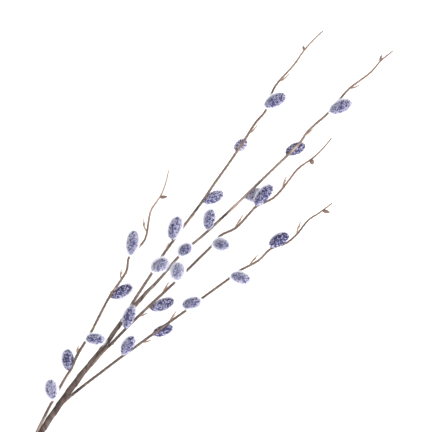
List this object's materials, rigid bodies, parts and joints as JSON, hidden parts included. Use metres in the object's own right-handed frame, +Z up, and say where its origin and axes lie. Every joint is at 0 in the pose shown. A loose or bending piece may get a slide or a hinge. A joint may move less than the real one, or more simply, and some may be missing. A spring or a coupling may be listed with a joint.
{
  "type": "artificial pussy willow spray",
  "caption": "Decorative willow branch lying flat: wired twigs with violet-blue fuzzy catkins, small sprigs and buds, bound at the base into a stem wound with brown paper tape.",
  "frame": {"origin": "on the surface that the branch lies on, under the middle of the flat on the stem's lower end", "axes": "+X along the branch from the cut stem towards the tips, +Z up from the surface, +Y to the left when looking along +X from above"},
  "size_m": [0.7658, 0.2075, 0.0522],
  "materials": {
    "taped_stem": "matte crepe tape",
    "wired_twig": "matte wound wire",
    "catkin_fur": "fuzzy, frosted"
  },
  "bodies": {
    "root": {"main_stem": "taped_stem", "twig_a": "wired_twig", "twig_b": "wired_twig", "twig_c": "wired_twig", "twig_d": "wired_twig", "twig_e": "wired_twig", "catkin_a1": "catkin_fur", "catkin_a2": "catkin_fur", "catkin_a3": "catkin_fur", "catkin_a4": "catkin_fur", "catkin_a5": "catkin_fur", "catkin_b1": "catkin_fur", "catkin_b2": "catkin_fur", "catkin_b3": "catkin_fur", "catkin_b4": "catkin_fur", "catkin_b5": "catkin_fur", "catkin_c1": "catkin_fur", "catkin_c2": "catkin_fur", "catkin_c3": "catkin_fur", "catkin_c4": "catkin_fur", "catkin_c5": "catkin_fur", "catkin_d1": "catkin_fur", "catkin_d2": "catkin_fur", "catkin_d3": "catkin_fur", "catkin_d4": "catkin_fur", "catkin_d5": "catkin_fur", "catkin_e1": "catkin_fur", "catkin_e2": "catkin_fur", "catkin_e3": "catkin_fur", "catkin_e4": "catkin_fur", "catkin_e5": "catkin_fur"}
  },
  "joints": []
}
